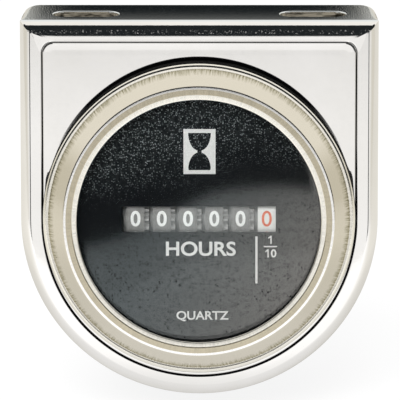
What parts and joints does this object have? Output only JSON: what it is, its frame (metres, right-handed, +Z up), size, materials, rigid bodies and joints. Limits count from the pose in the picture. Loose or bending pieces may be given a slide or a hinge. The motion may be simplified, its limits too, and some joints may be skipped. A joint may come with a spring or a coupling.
{
  "type": "hour meter",
  "caption": "Round quartz hour meter with a stepped metal bezel, black dial and number-wheel register, clamped in a plated under-dash bracket with a slotted top flange.",
  "frame": {"origin": "on top of the bracket's flange, midway between the centres of its two slots", "axes": "+Z up, out of the flange towards the surface it is fixed under; -Y out of the dial's side; +X to the right of someone reading the dial"},
  "size_m": [0.068, 0.059, 0.072],
  "materials": {
    "plated": "bright plating",
    "bezel": "satin nickel",
    "lens": "clear",
    "rubber": "matt",
    "dial": "fine textured black paint with white print",
    "black_plastic": "moulded",
    "white_plastic": "moulded",
    "natural_plastic": "moulded",
    "steel": "bright zinc plating",
    "brass": "tinned brass",
    "copper": "enamelled copper wire",
    "magnet": "sintered",
    "board": "solder mask",
    "sleeve": "shrink sleeve",
    "ceramic_tan": "lacquer"
  },
  "bodies": {
    "meter": {"mounting_bracket": "plated", "bezel": "bezel", "lens": "lens", "lens_gasket": "rubber", "dial_plate": "dial", "panel_gasket": "rubber", "meter_case": "black_plastic", "terminal_left": "brass", "terminal_right": "brass", "clamp_strap": "steel", "clamp_studs": "steel", "clamp_washers": "steel", "clamp_nuts": "steel", "movement_frame": "natural_plastic", "wheel_shaft": "steel", "pinion_shaft": "steel", "retaining_clip": "steel", "intermediate_arbor": "brass", "rotor_arbor": "steel", "stator": "steel", "coil_core": "steel", "coil_bobbin": "natural_plastic", "coil_winding": "copper", "motor_bridge": "natural_plastic", "motor_screws": "steel", "frame_screws": "steel", "circuit_board": "board", "quartz_crystal": "steel", "driver_chip": "black_plastic", "capacitor": "sleeve", "diode": "black_plastic", "resistor": "ceramic_tan"},
    "wheel_tenths": {"wheel_tenths": "white_plastic"},
    "wheel_units": {"wheel_units": "black_plastic"},
    "wheel_tens": {"wheel_tens": "black_plastic"},
    "wheel_hundreds": {"wheel_hundreds": "black_plastic"},
    "wheel_thousands": {"wheel_thousands": "black_plastic"},
    "wheel_ten_thousands": {"wheel_ten_thousands": "black_plastic"},
    "pinion_units": {"pinion_units": "white_plastic"},
    "pinion_tens": {"pinion_tens": "white_plastic"},
    "pinion_hundreds": {"pinion_hundreds": "white_plastic"},
    "pinion_thousands": {"pinion_thousands": "white_plastic"},
    "pinion_ten_thousands": {"pinion_ten_thousands": "white_plastic"},
    "drive_gear": {"drive_gear": "white_plastic"},
    "intermediate_gear": {"intermediate_gear": "natural_plastic"},
    "rotor": {"rotor_magnet": "magnet", "rotor_spindle": "white_plastic"}
  },
  "joints": [
    {"name": "wheel_tenths_turn", "type": "hinge", "parent": "meter", "child": "wheel_tenths", "pos_m": [0, -0.01016, -0.03666], "axis": [1, 0, 0], "continuous": true},
    {"name": "wheel_units_turn", "type": "hinge", "parent": "meter", "child": "wheel_units", "pos_m": [0, -0.01016, -0.03666], "axis": [1, 0, 0], "continuous": true},
    {"name": "wheel_tens_turn", "type": "hinge", "parent": "meter", "child": "wheel_tens", "pos_m": [0, -0.01016, -0.03666], "axis": [1, 0, 0], "continuous": true},
    {"name": "wheel_hundreds_turn", "type": "hinge", "parent": "meter", "child": "wheel_hundreds", "pos_m": [0, -0.01016, -0.03666], "axis": [1, 0, 0], "continuous": true},
    {"name": "wheel_thousands_turn", "type": "hinge", "parent": "meter", "child": "wheel_thousands", "pos_m": [0, -0.01016, -0.03666], "axis": [1, 0, 0], "continuous": true},
    {"name": "wheel_ten_thousands_turn", "type": "hinge", "parent": "meter", "child": "wheel_ten_thousands", "pos_m": [0, -0.01016, -0.03666], "axis": [1, 0, 0], "continuous": true},
    {"name": "pinion_units_turn", "type": "hinge", "parent": "meter", "child": "pinion_units", "pos_m": [0, -0.00728, -0.0438], "axis": [1, 0, 0], "continuous": true},
    {"name": "pinion_tens_turn", "type": "hinge", "parent": "meter", "child": "pinion_tens", "pos_m": [0, -0.00728, -0.0438], "axis": [1, 0, 0], "continuous": true},
    {"name": "pinion_hundreds_turn", "type": "hinge", "parent": "meter", "child": "pinion_hundreds", "pos_m": [0, -0.00728, -0.0438], "axis": [1, 0, 0], "continuous": true},
    {"name": "pinion_thousands_turn", "type": "hinge", "parent": "meter", "child": "pinion_thousands", "pos_m": [0, -0.00728, -0.0438], "axis": [1, 0, 0], "continuous": true},
    {"name": "pinion_ten_thousands_turn", "type": "hinge", "parent": "meter", "child": "pinion_ten_thousands", "pos_m": [0, -0.00728, -0.0438], "axis": [1, 0, 0], "continuous": true},
    {"name": "drive_gear_turn", "type": "hinge", "parent": "meter", "child": "drive_gear", "pos_m": [0, -0.00728, -0.0438], "axis": [1, 0, 0], "continuous": true},
    {"name": "intermediate_gear_turn", "type": "hinge", "parent": "meter", "child": "intermediate_gear", "pos_m": [0, 0.00072, -0.04352], "axis": [1, 0, 0], "continuous": true},
    {"name": "rotor_turn", "type": "hinge", "parent": "meter", "child": "rotor", "pos_m": [0, 0.00178, -0.03592], "axis": [1, 0, 0], "continuous": true}
  ],
  "couplings": [
    {"joint": "wheel_units_turn", "follows": "wheel_tenths_turn", "ratio": 0.1},
    {"joint": "wheel_tens_turn", "follows": "wheel_tenths_turn", "ratio": 0.01},
    {"joint": "wheel_hundreds_turn", "follows": "wheel_tenths_turn", "ratio": 0.001},
    {"joint": "wheel_thousands_turn", "follows": "wheel_tenths_turn", "ratio": 0.0001},
    {"joint": "wheel_ten_thousands_turn", "follows": "wheel_tenths_turn", "ratio": 0.00001},
    {"joint": "pinion_units_turn", "follows": "wheel_tenths_turn", "ratio": -0.25},
    {"joint": "pinion_tens_turn", "follows": "wheel_tenths_turn", "ratio": -0.025},
    {"joint": "pinion_hundreds_turn", "follows": "wheel_tenths_turn", "ratio": -0.0025},
    {"joint": "pinion_thousands_turn", "follows": "wheel_tenths_turn", "ratio": -0.00025},
    {"joint": "pinion_ten_thousands_turn", "follows": "wheel_tenths_turn", "ratio": -0.000025},
    {"joint": "drive_gear_turn", "follows": "wheel_tenths_turn", "ratio": -2.5},
    {"joint": "intermediate_gear_turn", "follows": "wheel_tenths_turn", "ratio": 10},
    {"joint": "rotor_turn", "follows": "wheel_tenths_turn", "ratio": -50}
  ]
}
